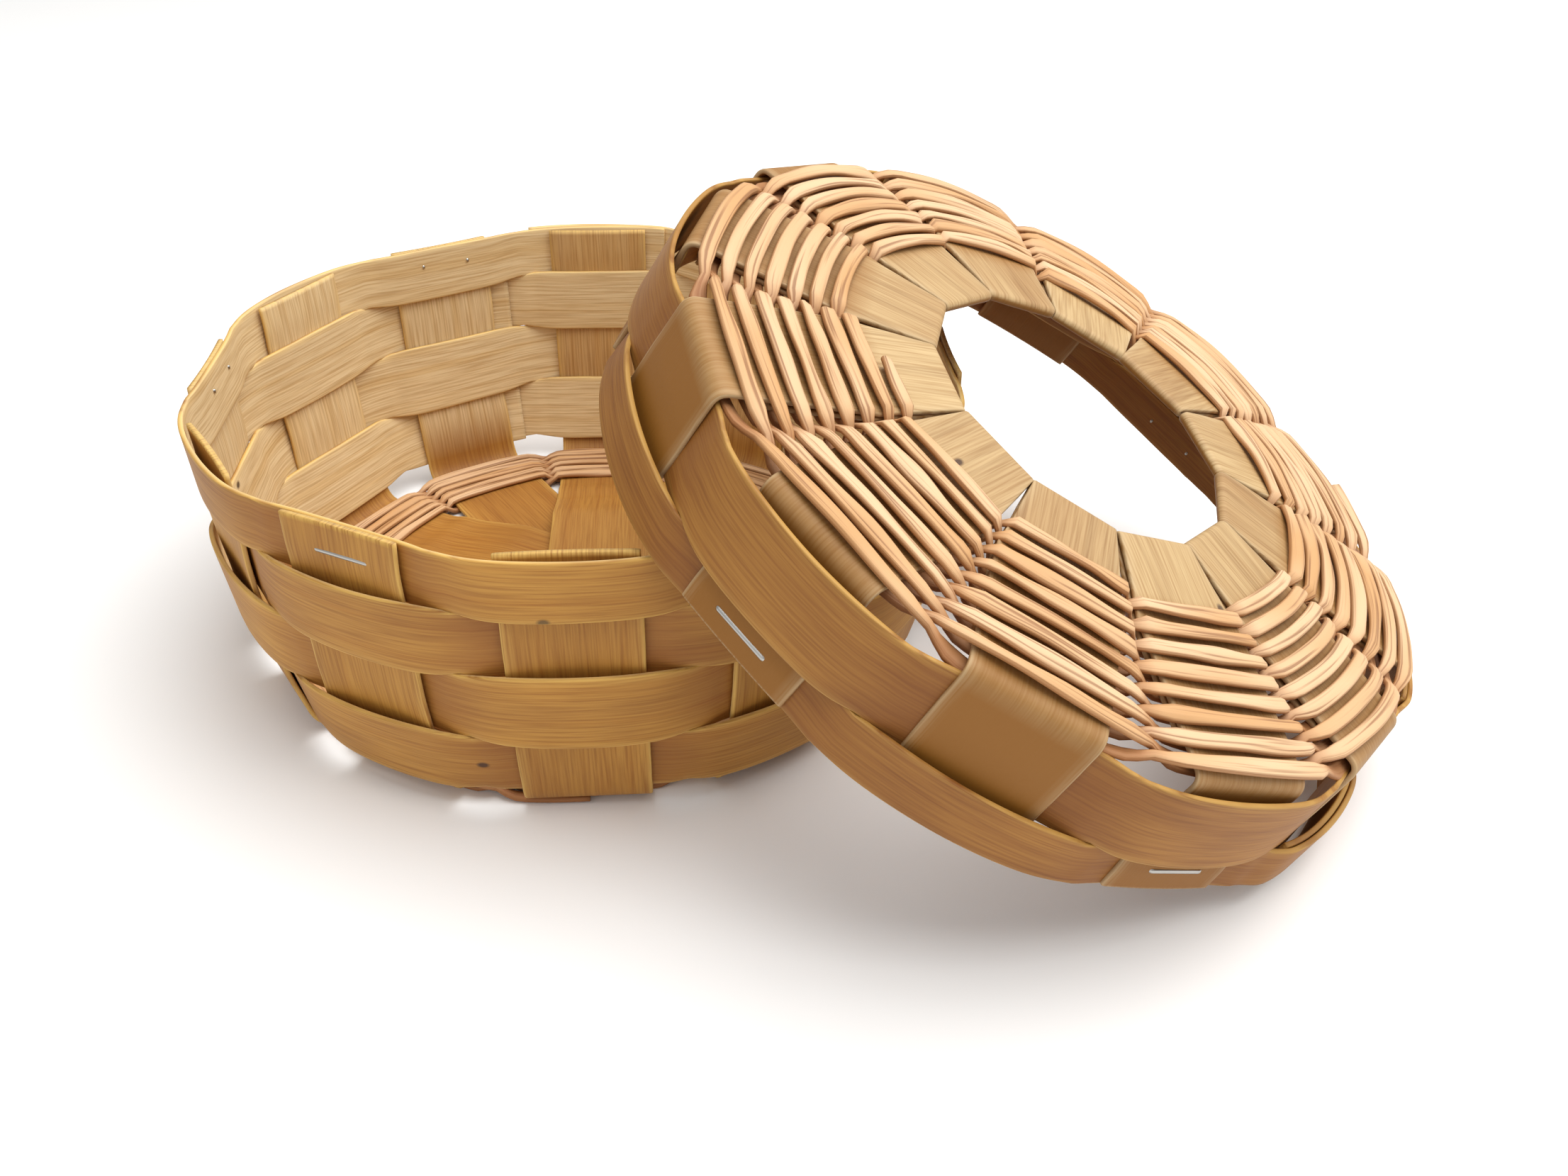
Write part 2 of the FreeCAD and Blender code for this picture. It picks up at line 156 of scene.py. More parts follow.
def factor(tree: bpy.types.NodeTree, value: Any, low: float, high: float,
           top: float = 1.0) -> bpy.types.NodeSocket:
    """A value spread from low..high to 0..top and held there."""
    return add_node(tree, "ShaderNodeMapRange", inputs={
        "Value": value, "From Min": low, "From Max": high, "To Max": top}).outputs[0]


def blend_colours(tree: bpy.types.NodeTree, share: Any, first: Any, second: Any,
                  how: str = "MIX") -> bpy.types.NodeSocket:
    """A colour part of the way from first to second.

    Args:
        tree: the material's nodes.
        share: how far, a number or a socket.
        first: the colour at 0, a hex string or a socket.
        second: the colour at 1.
        how: the blend's type.

    Returns:
        The blended colour.
    """
    pair = [linear(c) if isinstance(c, str) else c for c in (first, second)]
    mixed = add_node(tree, "ShaderNodeMix", {"data_type": "RGBA", "blend_type": how},
                     {0: share, 6: pair[0], 7: pair[1]})
    return mixed.outputs[2]


@dataclass(frozen=True)
class Streak:
    """One layer of grain: noise stretched along the strip."""

    length: float
    width: float
    detail: float = 2.0
    distortion: float = 0.0

    def build(self, tree: bpy.types.NodeTree, uv: bpy.types.NodeSocket) -> bpy.types.NodeSocket:
        """Adds the layer.

        Args:
            tree: the material's nodes.
            uv: the strip's map in metres, along then across the grain.

        Returns:
            The noise, about 0.25 to 0.75.
        """
        at = add_node(tree, "ShaderNodeMapping", inputs={
            "Vector": uv, "Scale": (1.0 / self.length, 1.0 / self.width, 1.0)})
        return add_node(tree, "ShaderNodeTexNoise", inputs={
            "Vector": at.outputs["Vector"], "Scale": 1.0, "Detail": self.detail,
            "Distortion": self.distortion}).outputs["Fac"]


@dataclass(frozen=True)
class SplintFinish:
    """Bare poplar or pine splint, split along the grain and hardly planed.

    To the eye it is matt and silky: straight fibre lines along the strip, a
    slow drift between honey and straw, pin knots, a paler inner face (partly
    the wood's own, partly painted light), a dry furry cut edge, and a redder
    brown painted as shade where it lies under or behind other pieces.
    """

    name: str
    light: str
    dark: str
    # the inner face's colour: partly the wood's paler face, partly painted light
    line: str
    inner: str
    # the painted shade's colour, a redder brown
    edge: str
    painted_shade_colour: str
    grain: Grain = Grain.QUARTERED
    ring_spacing: float = 2.6 * MM      # growth rings, met across the strip
    ring_length: float = 130.0 * MM
    fibre_width: float = 0.45 * MM      # drawn coarser than real fibres, to show
    fibre_length: float = 16.0 * MM
    drift_length: float = 60.0 * MM
    knot_spacing: float = 80.0 * MM
    knot_colour: str = "#3a1d0c"
    fibre_shade: str = "#e0d4c4"
    relief: float = 0.14 * MM
    roughness: float = 0.6

    def build(self) -> bpy.types.Material:
        """Makes the node material.

        Returns:
            The material, reading the strip's own map and its four marks.
        """
        material, shader = new_material(self.name, self.roughness)
        tree = material.node_tree
        shader.inputs["IOR"].default_value = 1.45
        uv = add_node(tree, "ShaderNodeTexCoord").outputs["UV"]
        tone, edge, painted_shade, inner = read_marks(tree)
        wander = 1.4 if self.grain is Grain.FLAT else 0.35
        fibre = Streak(self.fibre_length, self.fibre_width, 3.0).build(tree, uv)
        ring = Streak(self.ring_length, self.ring_spacing, 2.0, wander).build(tree, uv)
        drift = Streak(self.drift_length, self.drift_length / 3.0, 2.0, 0.4).build(tree, uv)
        toned = add_node(tree, "ShaderNodeMath", {"operation": "ADD"}, {0: drift, 1: tone}).outputs[0]
        colour = blend_colours(tree, factor(tree, toned, 0.25, 0.75), self.dark, self.light)
        # paler inner face: partly the wood's own, partly painted light on the lit inside
        colour = blend_colours(tree, inner, colour, self.inner)
        ring_share = factor(tree, ring, 0.48, 0.68, 0.34)
        ringed = blend_colours(tree, 1.0, colour, self.line, "MULTIPLY")
        colour = blend_colours(tree, ring_share, colour, ringed)
        fine = blend_colours(tree, factor(tree, fibre, 0.34, 0.6), self.fibre_shade, "#ffffff")
        colour = blend_colours(tree, 1.0, colour, fine, "MULTIPLY")
        # painted shade: a redder brown where the piece lies under or behind others
        colour = blend_colours(tree, painted_shade, colour, self.painted_shade_colour)
        knot_at = add_node(tree, "ShaderNodeMapping", inputs={
            "Vector": uv, "Scale": (0.7 / self.knot_spacing, 1.0 / self.knot_spacing, 1.0)})
        knot = add_node(tree, "ShaderNodeTexVoronoi", {"voronoi_dimensions": "2D"}, {
            "Vector": knot_at.outputs["Vector"], "Scale": 1.0, "Randomness": 1.0}).outputs["Distance"]
        colour = blend_colours(tree, factor(tree, knot, 0.0125, 0.006, 0.9), colour, self.knot_colour)
        furry = add_node(tree, "ShaderNodeMath", {"operation": "MULTIPLY"}, {
            0: edge, 1: factor(tree, fibre, 0.3, 0.55, 0.6)}).outputs[0]
        colour = blend_colours(tree, furry, colour, self.edge)
        tree.links.new(colour, shader.inputs["Base Color"])
        height = add_node(tree, "ShaderNodeMath", {"operation": "MULTIPLY_ADD"}, {
            0: ring, 1: 0.6, 2: fibre}).outputs[0]
        relief = add_node(tree, "ShaderNodeBump", inputs={
            "Height": height, "Strength": 0.4, "Distance": self.relief})
        tree.links.new(relief.outputs["Normal"], shader.inputs["Normal"])
        return material


@dataclass(frozen=True)
class ReedFinish:
    """Bare half-round reed, the split core of rattan.

    To the eye it is paler and drier than the splint, with long open pores that
    read as fine dark scratches along it. Painted shade makes its sides and
    underside browner, and darker still where it dips under a strip.
    """

    name: str
    light: str
    dark: str
    pore: str
    flank_shade: str
    dip_shade: str
    pore_width: float = 0.5 * MM
    pore_length: float = 24.0 * MM
    pore_depth: float = 0.25 * MM
    drift_length: float = 34.0 * MM
    drift_width: float = 9.0 * MM
    roughness: float = 0.66

    def build(self) -> bpy.types.Material:
        """Makes the node material.

        Returns:
            The material, reading the reed's own map and its marks.
        """
        material, shader = new_material(self.name, self.roughness)
        tree = material.node_tree
        uv = add_node(tree, "ShaderNodeTexCoord").outputs["UV"]
        tone, flank_shade, dip_shade, _ = read_marks(tree)
        pore = Streak(self.pore_length, self.pore_width, 2.0).build(tree, uv)
        drift = Streak(self.drift_length, self.drift_width, 1.0).build(tree, uv)
        toned = add_node(tree, "ShaderNodeMath", {"operation": "ADD"}, {0: drift, 1: tone}).outputs[0]
        colour = blend_colours(tree, factor(tree, toned, 0.3, 0.62), self.dark, self.light)
        colour = blend_colours(tree, factor(tree, pore, 0.53, 0.66, 0.7), colour, self.pore)
        # painted shade: browner sides and underside
        colour = blend_colours(tree, flank_shade, colour, self.flank_shade)
        # painted shade where the reed dips under a strip
        colour = blend_colours(tree, dip_shade, colour, self.dip_shade)
        tree.links.new(colour, shader.inputs["Base Color"])
        relief = add_node(tree, "ShaderNodeBump", inputs={
            "Height": pore, "Strength": 0.7, "Distance": -self.pore_depth})
        tree.links.new(relief.outputs["Normal"], shader.inputs["Normal"])
        return material


@dataclass(frozen=True)
class WireFinish:
    """Drawn, zinc-plated steel wire: a bright line with a soft, streaky shine."""

    name: str = "zinc_plated_staple_wire"
    colour: str = "#b4b2ad"
    roughness: float = 0.32

    def build(self) -> bpy.types.Material:
        """Makes the material.

        Returns:
            A plain metal, its values on the shader's own sockets.
        """
        material, shader = new_material(self.name, self.roughness)
        shader.inputs["Base Color"].default_value = linear(self.colour)
        shader.inputs["Metallic"].default_value = 1.0
        return material


# ---------------------------------------------------------------- mesh work
Place = Callable[[np.ndarray], np.ndarray]


def same_place(points: np.ndarray) -> np.ndarray:
    """Leaves points where they are."""
    return points


def show(name: str, mesh: bpy.types.Mesh) -> bpy.types.Object:
    """Puts a mesh in the scene as an object at the origin."""
    made = bpy.data.objects.new(name, mesh)
    bpy.context.scene.collection.objects.link(made)
    return made


def path_lengths(path: np.ndarray) -> np.ndarray:
    """Length along a plane path at each of its points."""
    return np.concatenate([[0.0], np.cumsum(np.hypot(*np.diff(path, axis=0).T))])


def grid_object(name: str, grid: np.ndarray, uv: np.ndarray, material: bpy.types.Material,
                marks: dict[str, Any], place: Place = same_place) -> bpy.types.Object:
    """A mesh from a grid of points, closed round its section and capped at its ends.

    The surface is P(i, j): i runs along the piece and j round its section.
    The last column joins the first, and each end is closed by one face.

    Args:
        name: the object's name.
        grid: points, shape (along, round, 3), in metres.
        uv: texture places, shape (along, round + 1, 2).
        material: what it is made of.
        marks: for each mark its values, a number or shape (along, round).
        place: moves the points to where the piece goes.

    Returns:
        The new object, at the origin.
    """
    along, around = grid.shape[:2]
    rows = np.arange(along - 1)[:, None]
    cols = np.arange(around)[None, :]
    nxt = (cols + 1) % around
    quads = np.stack([rows * around + cols, rows * around + nxt,
                      (rows + 1) * around + nxt, (rows + 1) * around + cols], axis=-1).reshape(-1, 4)
    corner_uv = np.stack([uv[rows, cols], uv[rows, cols + 1],
                          uv[rows + 1, cols + 1], uv[rows + 1, cols]], axis=-2).reshape(-1, 2)
    faces = quads.tolist()
    faces.append(list(range(around - 1, -1, -1)))
    faces.append(list(range((along - 1) * around, along * around)))
    corner_uv = np.concatenate([corner_uv, uv[0, :around][::-1], uv[-1, :around]])
    mesh = bpy.data.meshes.new(name)
    mesh.from_pydata(place(grid.reshape(-1, 3)).tolist(), [], faces)
    layer = mesh.uv_layers.new(name="along_grain")
    layer.data.foreach_set("uv", np.ascontiguousarray(corner_uv, dtype=np.float32).ravel())
    for mark in MARKS:
        values = np.broadcast_to(np.asarray(marks.get(mark, 0.0), dtype=np.float32), (along, around))
        mesh.attributes.new(mark, "FLOAT", "POINT").data.foreach_set("value", values.ravel())
    mesh.polygons.foreach_set("use_smooth", [True] * len(mesh.polygons))
    mesh.materials.append(material)
    mesh.update()
    return show(name, mesh)


def slow_noise(rng: np.random.Generator, places: np.ndarray, wavelength: float, terms: int = 5) -> np.ndarray:
    """A smooth random curve: a sum of sines, its longest wave the given one.

    Args:
        rng: the piece's own random source.
        places: where to read the curve.
        wavelength: the longest wave, in the units of places.
        terms: how many sines, each shorter than the last.

    Returns:
        Values of about -1 to 1.
    """
    total = np.zeros_like(places)
    for k in range(1, terms + 1):
        total += np.sin(2.0 * math.pi * k * 0.73 * places / wavelength + rng.uniform(0, 6.28)) / k
    return total / 1.7


def splint_section(width: np.ndarray, thickness: float) -> tuple[np.ndarray, np.ndarray]:
    """The section of a splint: two broad faces and softly broken edges.

    The loop goes along the upper face from one edge to the other and back
    along the lower face. Near the edges the half thickness falls to 55%.

    Args:
        width: the strip's width at each place along it.
        thickness: its thickness.

    Returns:
        Across and through offsets, each of shape (along, round).
    """
    share = np.array([-1.0, -0.985, -0.95, -0.8, -0.5, -0.2, 0.2, 0.5, 0.8, 0.95, 0.985, 1.0])
    half = thickness / 2.0 * np.where(np.abs(share) > 0.99, 0.55, np.where(np.abs(share) > 0.98, 0.86, 1.0))
    across = np.concatenate([share, share[::-1]])
    through = np.concatenate([half, -half[::-1]])
    return width[:, None] / 2.0 * across[None, :], np.repeat(through[None, :], len(width), axis=0)


def smooth_path(corners: np.ndarray, spacing: float, radius: float) -> np.ndarray:
    """A path through corners, resampled evenly and rounded.

    The run between corners is straight; a moving average of the given radius
    then rounds each corner, and the two ends stay where they are.

    Args:
        corners: points in a plane, shape (n, 2).
        spacing: distance between samples.
        radius: how far each side the average reaches.

    Returns:
        Points, shape (m, 2).
    """
    lengths = path_lengths(corners)
    count = int(round(lengths[-1] / spacing)) + 1
    at = np.linspace(0.0, lengths[-1], count)
    points = np.stack([np.interp(at, lengths, corners[:, k]) for k in (0, 1)], axis=1)
    reach = max(int(round(radius / spacing)), 1)
    before = 2 * points[:1] - points[reach:0:-1]
    after = 2 * points[-1:] - points[-2:-reach - 2:-1]
    padded = np.concatenate([before, points, after])
    window = np.hanning(2 * reach + 3)[1:-1]
    window /= window.sum()
    return np.stack([np.convolve(padded[:, k], window, mode="valid") for k in (0, 1)], axis=1)


def path_frames(path: np.ndarray) -> tuple[np.ndarray, np.ndarray]:
    """Length along a plane path and its unit normals, to the left of travel.

    Args:
        path: points, shape (n, 2).

    Returns:
        Lengths, shape (n,), and normals, shape (n, 2).
    """
    step = np.gradient(path, axis=0)
    step /= np.linalg.norm(step, axis=1, keepdims=True)
    return path_lengths(path), np.stack([-step[:, 1], step[:, 0]], axis=1)


def quarter_bend(start: tuple[float, float], corner: tuple[float, float],
                 end: tuple[float, float]) -> list:
    """A quadratic bend: (1-t)^2 start + 2t(1-t) corner + t^2 end.

    Args:
        start: where it starts, itself left out of the result.
        corner: what it is drawn towards.
        end: where it ends.

    Returns:
        Its eight points.
    """
    t = np.linspace(0.0, 1.0, 9)[1:, None]
    curve = (1 - t) ** 2 * np.array(start) + 2 * t * (1 - t) * np.array(corner) + t ** 2 * np.array(end)
    return curve.tolist()


def square_wave(angle: np.ndarray) -> np.ndarray:
    """+1 over even stakes and -1 over odd ones.

    It is the cosine of six times the angle, squared off by two sines.

    Args:
        angle: the angle from the first stake.

    Returns:
        Values of -1 to 1.
    """
    wave = np.cos(angle * STAKES / 2.0)
    for _ in range(2):
        wave = np.sin(math.pi / 2.0 * wave)
    return wave


@dataclass
class Tapered:
    """A wall as stakes see it: the radius of their middle at each height."""

    heights: list[float]
    radii: list[float]

    def radius(self, z: np.ndarray) -> np.ndarray:
        """The stakes' radius at a height, carried on past both ends.

        Args:
            z: the height, above the ground or the lid's own zero.

        Returns:
            The radius there.
        """
        low = (self.radii[1] - self.radii[0]) / (self.heights[1] - self.heights[0])
        high = (self.radii[-1] - self.radii[-2]) / (self.heights[-1] - self.heights[-2])
        inside = np.interp(z, self.heights, self.radii)
        below = np.minimum(z - self.heights[0], 0.0) * low
        above = np.maximum(z - self.heights[-1], 0.0) * high
        return inside + below + above


@dataclass
class WovenBand:
    """A closed splint band that passes outside every second stake.

    The band's middle is r = R(z) + s + g. Outside a stake it runs round in an
    arc that bulges off the flat stake; inside one it lies flat against it,
    r / cos(angle from the stake). The square wave of the stake angle blends
    the two. Over a stake its edges spread past its neighbours', which pass on
    the stake's other side. Its ends lap over one outer pass.
    """

    name: str
    wall: Tapered
    low: float
    high: float
    side: int
    first_angle: float
    seed: int
    lap_stake: int
    bulge: float = 1.5 * MM
    snug: float = 1.12 * MM
    lean_out: float = 0.35 * MM
    wobble: float = 0.22 * MM
    lap_half: float = math.radians(12.5)
    tone: float = 0.0
    # how pale the inner face is: partly the wood's own, partly painted light
    inner: float = 0.85
    lap_below: float = 1.1 * MM
    lap_above: float = 1.1 * MM
    samples: int = 40                           # from one stake to the next
    flat_reach: float = 0.42 * STEP             # each side of a stake that it crosses inside
    lap_rise: float = math.radians(5.0)         # over which the end climbs on the start
    lap_lead: float = 0.8
    lap_lift: float = 1.06 * SPLINT_THICKNESS
    waver: float = 0.12 * MM
    shade: float = 0.5                          # painted shade of its outer face where it passes inside a stake

    def build(self, material: bpy.types.Material, place: Place = same_place) -> bpy.types.Object:
        """Makes the band.

        Args:
            material: its finish.
            place: moves it to where it goes.

        Returns:
            The band's object.
        """
        rng = np.random.default_rng(SEED + self.seed)
        start = self.lap_stake * STEP - self.lap_half
        turn = 2.0 * math.pi + 2.0 * self.lap_half
        angle = start + np.linspace(0.0, turn, STAKES * self.samples + 1)
        spread = np.abs(square_wave(angle))
        low, high = self.low - self.lap_below * spread, self.high + self.lap_above * spread
        across, through = splint_section(high - low, SPLINT_THICKNESS)
        edge_share = across / across.max(axis=1, keepdims=True)
        rise = across + (low + high)[:, None] / 2.0
        rise = rise + self.wobble * (slow_noise(rng, angle, 1.9) * 0.6)[:, None]
        rise = rise + self.wobble * 0.5 * edge_share * slow_noise(rng, angle, 0.9)[:, None]
        stake_radius = self.wall.radius(rise)
        outside = (1.0 + self.side * square_wave(angle)) / 2.0
        nearest = (angle / STEP + (0.0 if self.side < 0 else 1.0)) / 2.0
        off = (nearest - np.round(nearest)) * 2.0 * STEP
        flat = (stake_radius - self.snug) / np.cos(np.clip(off, -self.flat_reach, self.flat_reach))[:, None]
        proud = stake_radius + SPLINT_THICKNESS + self.bulge + self.lean_out * edge_share
        radius = flat + (proud - flat) * outside[:, None]
        past = np.clip((angle - start - 2.0 * math.pi) / self.lap_rise + self.lap_lead, 0.0, 1.0)
        radius = radius + (self.lap_lift * past ** 2 * (3 - 2 * past))[:, None]
        radius = radius + self.waver * slow_noise(rng, angle, 1.3)[:, None] + through
        turned = (self.first_angle + angle)[:, None]
        grid = np.stack([radius * np.cos(turned), radius * np.sin(turned), rise], axis=-1)
        along = angle * float(np.mean(stake_radius)) + self.seed * 0.37
        uv = np.stack([np.repeat(along[:, None], across.shape[1] + 1, axis=1),
                       np.concatenate([across, across[:, :1]], axis=1) + self.seed * 0.11], axis=-1)
        tone = self.tone + 0.12 * slow_noise(rng, angle, 2.2)[:, None]
        # painted shade on the outer face where the band passes inside a stake
        marks = {"tone": tone, "edge": EDGE_MARK[None, :], "inner": self.inner * INNER_MARK[None, :],
                 "painted_shade": self.shade * (1.0 - outside)[:, None] * (1.0 - INNER_MARK)[None, :]}
        return grid_object(self.name, grid, uv, material, marks, place)


@dataclass
class SpiralReed:
    """A half-round reed that goes over one set of stakes and under the other.

    Its middle is at radius r = start + pitch * turns, on a level that follows
    the strips, plus a wave of its own: full height over a strip with a slight
    hump, then a cosine across the gap. Over a strip it runs straighter than
    the circle. The section is half round: width across, height up.
    """

    name: str
    first_angle: float
    over_even: bool
    start: float
    pitch: float
    turns: float
    half_width: Callable[[np.ndarray], np.ndarray]
    level: Callable[[np.ndarray], np.ndarray]
    wave: float
    width: float
    waist: float
    height: float
    seed: int
    hump: float = 0.75 * MM
    straighten: float = 0.4
    samples: int = 18                           # from one strip to the next
    around: int = 16                            # round the section
    margin: float = 0.25 * MM                   # past the strip's edge before it dips
    least_gap: float = math.radians(1.2)
    bob: float = 0.10 * MM
    sway: float = 0.16 * MM
    roundness: float = 0.7                      # below 1, a boxier half round
    groove_depth: float = 0.16
    grooves: float = 2.5
    rock: float = 0.30
    stray: float = 0.16                         # tone, from one strip to the next

    def build(self, material: bpy.types.Material, place: Place = same_place) -> bpy.types.Object:
        """Makes the reed.

        Args:
            material: its finish.
            place: moves it to where it goes.

        Returns:
            The reed's object.
        """
        rng = np.random.default_rng(SEED + self.seed)
        angle = np.linspace(0.0, self.turns * 2.0 * math.pi, int(self.turns * STAKES * self.samples) + 1)
        radius = self.start + self.pitch * angle / (2.0 * math.pi)
        stake = np.round(angle / STEP)
        off = angle - stake * STEP
        edge = np.arcsin(np.clip((self.half_width(radius) + self.margin) / radius, 0.0, 0.97))
        edge = np.minimum(edge, STEP / 2.0 - self.least_gap)
        crossed = np.clip((np.abs(off) - edge) / (STEP / 2.0 - edge), 0.0, 1.0)
        sign = np.where((stake % 2 == 0) == self.over_even, 1.0, -1.0)
        rise = sign * np.cos(math.pi / 2.0 * crossed)
        humped = sign * self.hump * np.cos(np.clip(off / edge, -1.0, 1.0) * math.pi / 2.0)
        middle = self.level(radius) + (self.wave * rise + humped) + self.bob * slow_noise(rng, angle, 0.7)
        drawn = radius * (1.0 + self.straighten * (1.0 / np.cos(off) - 1.0) * np.abs(rise))
        drawn = drawn + self.sway * slow_noise(rng, angle, 0.9)
        full = np.minimum(rise ** 2 * 1.9, 1.0)
        half = (self.waist + (self.width - self.waist) * full) / 2.0
        half = half * (1.0 + 0.10 * slow_noise(rng, angle, 1.7))
        turn = np.linspace(0.0, 2.0 * math.pi, self.around + 1)[:-1]
        across = np.sign(np.cos(turn)) * np.abs(np.cos(turn)) ** self.roundness
        groove = 1.0 - self.groove_depth * np.cos(across * math.pi * self.grooves) ** 2 * (np.sin(turn) > 0.3)
        crown = np.abs(np.sin(turn)) ** self.roundness * REED_CROWN * groove
        up = np.where(np.sin(turn) > 0, crown, np.sin(turn) * REED_SOLE)
        roll = self.rock * slow_noise(rng, angle, 0.8) * np.abs(rise)
        out = half[:, None] * across[None, :]
        lift = self.height * up[None, :] + out * roll[:, None]
        r = drawn[:, None] + out
        turned = (self.first_angle + angle)[:, None]
        grid = np.stack([r * np.cos(turned), r * np.sin(turned), middle[:, None] + lift], axis=-1)
        along = angle * self.start + self.seed * 0.53
        round_uv = np.arange(len(turn) + 1) * self.width * 2.2 / len(turn) + self.seed * 0.07
        uv = np.stack(np.broadcast_arrays(along[:, None], round_uv[None, :]), axis=-1)
        # painted shade on the reed's sides and underside
        flank_shade = np.where(np.sin(turn) > 0.05, 0.8 * np.clip(np.abs(across) * 6.0 - 5.0, 0.0, 1.0), 0.85)
        # painted shade where the reed dips under a strip
        dip_shade = np.clip(0.55 - rise, 0.0, 1.0) * 0.75
        crossings = np.arange(0.0, angle[-1] + STEP, STEP)
        tones = rng.uniform(-self.stray, self.stray, int(angle[-1] / STEP) + 2)
        stray = np.interp(angle, crossings, tones[:len(crossings)])
        # the edge mark carries the sides' painted shade here
        marks = {"tone": stray[:, None], "edge": flank_shade[None, :], "painted_shade": dip_shade[:, None]}
        marks = {key: np.broadcast_to(value, r.shape)[:, ::-1] for key, value in marks.items()}
        return grid_object(self.name, grid[:, ::-1], uv, material, marks, place)


@dataclass
class Staple:
    """A wire staple: a straight crown outside and two legs pressed in."""

    crown: float = 12.8 * MM
    wire: float = 0.95 * MM
    depth: float = 0.6 * MM
    leg: float = 2.6 * MM
    sides: int = 10

    def points(self) -> tuple[np.ndarray, list[list[int]]]:
        """The staple at the origin: crown along Y, legs along -X, outside at +X.

        The wire's middle runs leg, bend, crown, bend, leg; a circle of its
        radius is carried along it, square to the run.

        Returns:
            Points, shape (n, 3), and faces.
        """
        half = self.crown / 2.0 - self.wire / 2.0
        bend = self.wire * 0.55
        turn = np.linspace(0.0, math.pi / 2.0, 4)
        near = np.stack([-bend + bend * np.sin(turn), half - bend + bend * np.cos(turn)], axis=1)
        middle = np.concatenate([[[-self.leg, half]], near, (near * [1, -1])[::-1], [[-self.leg, -half]]])
        _, normal = path_frames(middle)
        circle = np.linspace(0.0, 2.0 * math.pi, self.sides + 1)[:-1]
        flat = (self.depth / 2.0) * np.cos(circle)
        high = (self.wire / 2.0) * np.sin(circle)
        x = middle[:, :1] + normal[:, :1] * flat
        y = middle[:, 1:] + normal[:, 1:] * flat
        z = np.broadcast_to(high, x.shape)
        grid = np.stack([x, y, z], axis=-1)
        rows, count = grid.shape[0], self.sides
        i = np.arange(rows - 1)[:, None] * count
        j = np.arange(count)[None, :]
        k = (j + 1) % count
        faces = np.stack([i + j, i + count + j, i + count + k, i + k], axis=-1).reshape(-1, 4).tolist()
        faces.append(list(range(count)))
        faces.append(list(range(rows * count - 1, (rows - 1) * count - 1, -1)))
        return grid.reshape(-1, 3), faces

    def ring(self, name: str, angles: np.ndarray, radius: float, z: float, lean: float,
             material: bpy.types.Material, seed: int, place: Place = same_place) -> bpy.types.Object:
        """Several staples round a rim, as one piece.

        Args:
            name: the piece's name.
            angles: where each staple sits.
            radius: the wood's outer face there.
            z: the crown's height.
            lean: the rim's angle from upright.
            material: the wire's finish.
            seed: for the small errors of the hand that drove them.
            place: moves them to where they go.

        Returns:
            The staples' object.
        """
        rng = np.random.default_rng(SEED + seed)
        base, faces = self.points()
        all_points, all_faces = [], []
        for angle in angles:
            crooked = rng.normal(0.0, math.radians(2.0))
            drop = rng.normal(0.0, 0.5 * MM)
            slide = rng.normal(0.0, 0.9 * MM)
            leaned = Matrix.Rotation(angle, 3, "Z") @ Matrix.Rotation(lean, 3, "Y")
            turn = leaned @ Matrix.Rotation(crooked, 3, "X")
            moved = base @ np.array(turn).T
            shift = [radius * math.cos(angle) - slide * math.sin(angle),
                     radius * math.sin(angle) + slide * math.cos(angle), z + drop]
            all_faces += [[len(all_points) * len(base) + k for k in face] for face in faces]
            all_points.append(moved + shift)
        mesh = bpy.data.meshes.new(name)
        mesh.from_pydata(place(np.concatenate(all_points)).tolist(), [], all_faces)
        mesh.polygons.foreach_set("use_smooth", [True] * len(mesh.polygons))
        mesh.materials.append(material)
        return show(name, mesh)


def strip_object(name: str, path: np.ndarray, width: np.ndarray, direction: float, cup: np.ndarray,
                 material: bpy.types.Material, seed: int, marks: dict[str, Any],
                 place: Place = same_place) -> bpy.types.Object:
    """A splint carried along a path in an upright plane through the axis.

    A point is path(s) + through * normal(s), set back by cup(s) * across^2 so
    that the strip bends a little across as well, then turned to its direction.

    Args:
        name: the piece's name.
        path: (distance from the axis, height), shape (n, 2).
        width: its width along the path.
        direction: the plane's angle about Z.
        cup: curvature across the strip at each place, in 1 / metre.
        material: its finish.
        seed: for its small flaws and its place in the grain pattern.
        marks: its tone, painted shade and inner face.
        place: moves it to where it goes.

    Returns:
        The strip's object.
    """
    rng = np.random.default_rng(SEED + seed)
    lengths, normal = path_frames(path)
    edge_flaw = EDGE_FLAW * slow_noise(rng, lengths, 23.0 * MM, 7)
    across, through = splint_section(width + edge_flaw, SPLINT_THICKNESS)
    twist = STRIP_TWIST * slow_noise(rng, lengths, 60.0 * MM)[:, None] * across
    back = cup[:, None] * across ** 2 / 2.0 - through - twist
    x = path[:, :1] - normal[:, :1] * back
    z = path[:, 1:] - normal[:, 1:] * back
    c, s = math.cos(direction), math.sin(direction)
    grid = np.stack([x * c - across * s, x * s + across * c, z], axis=-1)
    uv = np.stack([np.repeat(lengths[:, None] + seed * 0.41, across.shape[1] + 1, axis=1),
                   np.concatenate([across, across[:, :1]], axis=1) + seed * 0.13], axis=-1)
    ends = np.zeros(len(path))
    ends[[0, -1]] = 1.0
    edge = np.maximum(EDGE_MARK[None, :], ends[:, None])
    return grid_object(name, grid, uv, material, {"edge": edge, **marks}, place)


